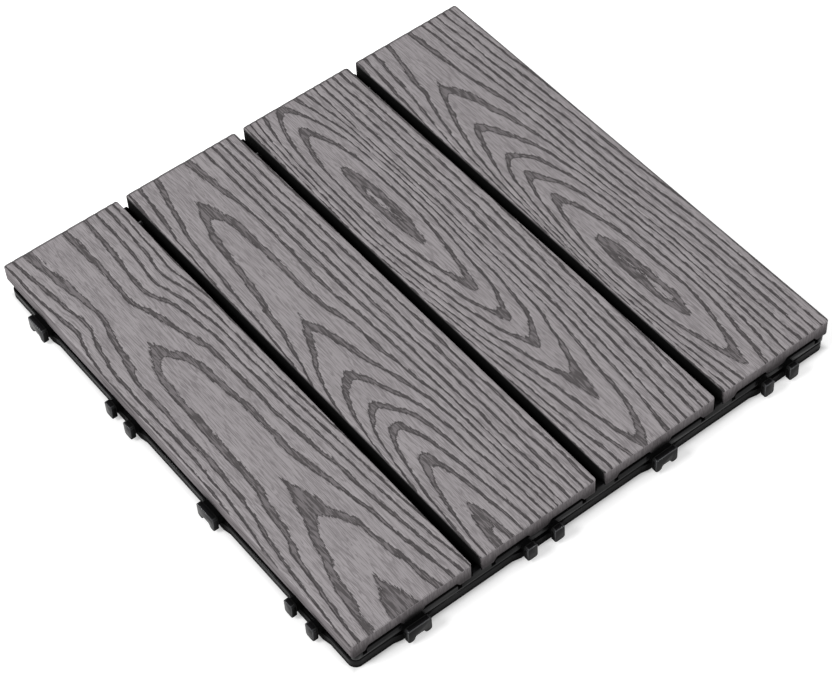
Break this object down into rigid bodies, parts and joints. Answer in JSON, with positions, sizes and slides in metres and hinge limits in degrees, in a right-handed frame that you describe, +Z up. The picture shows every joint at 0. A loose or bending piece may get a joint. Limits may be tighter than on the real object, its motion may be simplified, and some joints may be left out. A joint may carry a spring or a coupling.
{
  "type": "interlocking deck tile",
  "caption": "Square deck tile: embossed wood-grain composite slats screwed to a moulded plastic base grid that hooks into loops on the next tile.",
  "frame": {"origin": "middle of the tile's square module, on the surface that it stands on", "axes": "+Z up; the slats run along Y; hooks on the -X and -Y edges, loops on the +X and +Y edges"},
  "size_m": [0.3047, 0.3047, 0.022],
  "materials": {
    "base_plastic": "black injection-moulded polypropylene, slightly glossy",
    "slat_composite": "warm grey wood-plastic composite with embossed wood grain",
    "screw_steel": "zinc-plated steel"
  },
  "bodies": {
    "root": {"base_grid": "base_plastic", "slat_1": "slat_composite", "slat_2": "slat_composite", "slat_3": "slat_composite", "slat_4": "slat_composite", "slat_screws": "screw_steel"}
  },
  "joints": []
}
